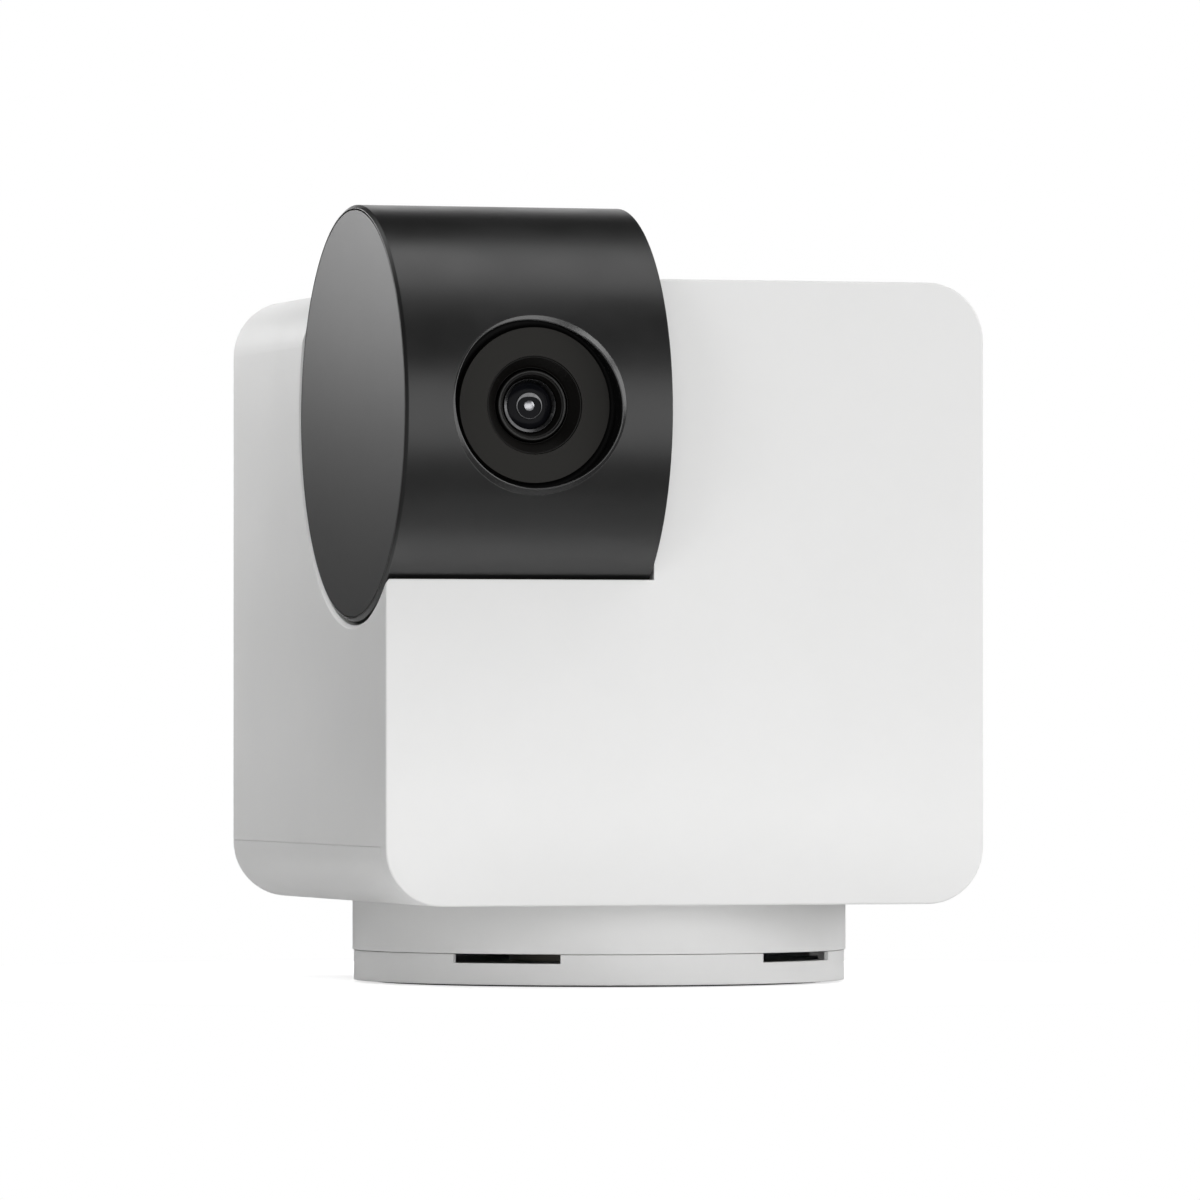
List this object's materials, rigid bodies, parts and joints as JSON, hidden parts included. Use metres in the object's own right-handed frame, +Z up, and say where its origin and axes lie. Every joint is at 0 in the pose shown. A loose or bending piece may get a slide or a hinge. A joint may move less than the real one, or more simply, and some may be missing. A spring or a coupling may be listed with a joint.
{
  "type": "pet camera",
  "caption": "Cube-shaped indoor pet camera that pans on a round base, with a black cylindrical lens head that tilts in a corner cradle.",
  "frame": {"origin": "on the pan axis, at the underside of the foot pad", "axes": "+Z up along the pan axis, -Y towards the front face that holds the lens, +X to the right as the front is seen"},
  "size_m": [0.062, 0.0708, 0.0781],
  "materials": {
    "white_plastic": "fine satin",
    "black_plastic": "satin",
    "cap_plastic": "satin",
    "smoked_plastic": "smooth",
    "lens_black": "matte",
    "lens_glass": "coated",
    "foot_rubber": "matte",
    "gear_plastic": "natural",
    "screw_steel": "plated",
    "motor_steel": "plated",
    "board_laminate": "solder mask",
    "chip_black": "moulded",
    "lead_jacket": "smooth"
  },
  "bodies": {
    "base": {"base_shell": "white_plastic", "foot_pad": "foot_rubber", "base_screws": "screw_steel", "pan_gear": "gear_plastic", "post_washer": "screw_steel", "post_screw": "screw_steel"},
    "body": {"main_housing": "white_plastic", "bottom_tray": "white_plastic", "pan_bush": "gear_plastic", "housing_screws": "screw_steel", "pan_motor": "motor_steel", "pan_motor_screws": "screw_steel", "tilt_motor": "motor_steel", "tilt_motor_screws": "screw_steel", "main_board": "board_laminate", "board_screws": "screw_steel", "shield_can": "motor_steel", "wifi_module": "chip_black", "board_plugs": "gear_plastic", "wifi_antenna": "chip_black", "speaker_grille": "white_plastic", "speaker_gasket": "foot_rubber", "speaker_frame": "chip_black", "speaker_cone": "chip_black", "speaker_magnet": "motor_steel", "power_board": "board_laminate", "power_screws": "screw_steel", "usb_socket": "motor_steel", "microphone": "chip_black", "reset_switch": "chip_black", "head_lead": "lead_jacket", "wire_leads": "lead_jacket"},
    "pan_drive": {"pan_pinion": "gear_plastic", "pan_motor_shaft": "screw_steel"},
    "head": {"head_shell": "black_plastic", "head_cap": "cap_plastic", "tilt_shaft": "screw_steel", "lens_bezel": "black_plastic", "ir_window": "smoked_plastic", "lens_shroud": "lens_black", "lens_barrel": "lens_black", "lens_front": "lens_glass", "lens_rear": "lens_glass", "lens_holder": "lens_black", "image_sensor": "chip_black", "sensor_board": "board_laminate", "sensor_screws": "screw_steel", "led_board": "board_laminate", "ir_leds": "gear_plastic", "status_led": "gear_plastic", "light_sensor": "chip_black", "sensor_lead": "lead_jacket"},
    "reset": {"reset_button": "white_plastic", "switch_plunger": "gear_plastic"}
  },
  "joints": [
    {"name": "pan", "type": "hinge", "parent": "base", "child": "body", "pos_m": [0, 0, 0], "axis": [0, 0, 1], "range_deg": [-175, 175]},
    {"name": "tilt", "type": "hinge", "parent": "body", "child": "head", "pos_m": [-0.0175, -0.0185, 0.0573], "axis": [-1, 0, 0], "range_deg": [-20, 90]},
    {"name": "pan_pinion_spin", "type": "hinge", "parent": "body", "child": "pan_drive", "pos_m": [0.01061, -0.01061, 0.006], "axis": [0, 0, 1], "range_deg": [-576, 576]},
    {"name": "reset_press", "type": "slide", "parent": "body", "child": "reset", "axis": [0, -1, 0], "range_m": [0, 0.0004], "stiffness_N_per_m": 800}
  ],
  "couplings": [
    {"joint": "pan_pinion_spin", "follows": "pan", "ratio": 3.2857}
  ]
}
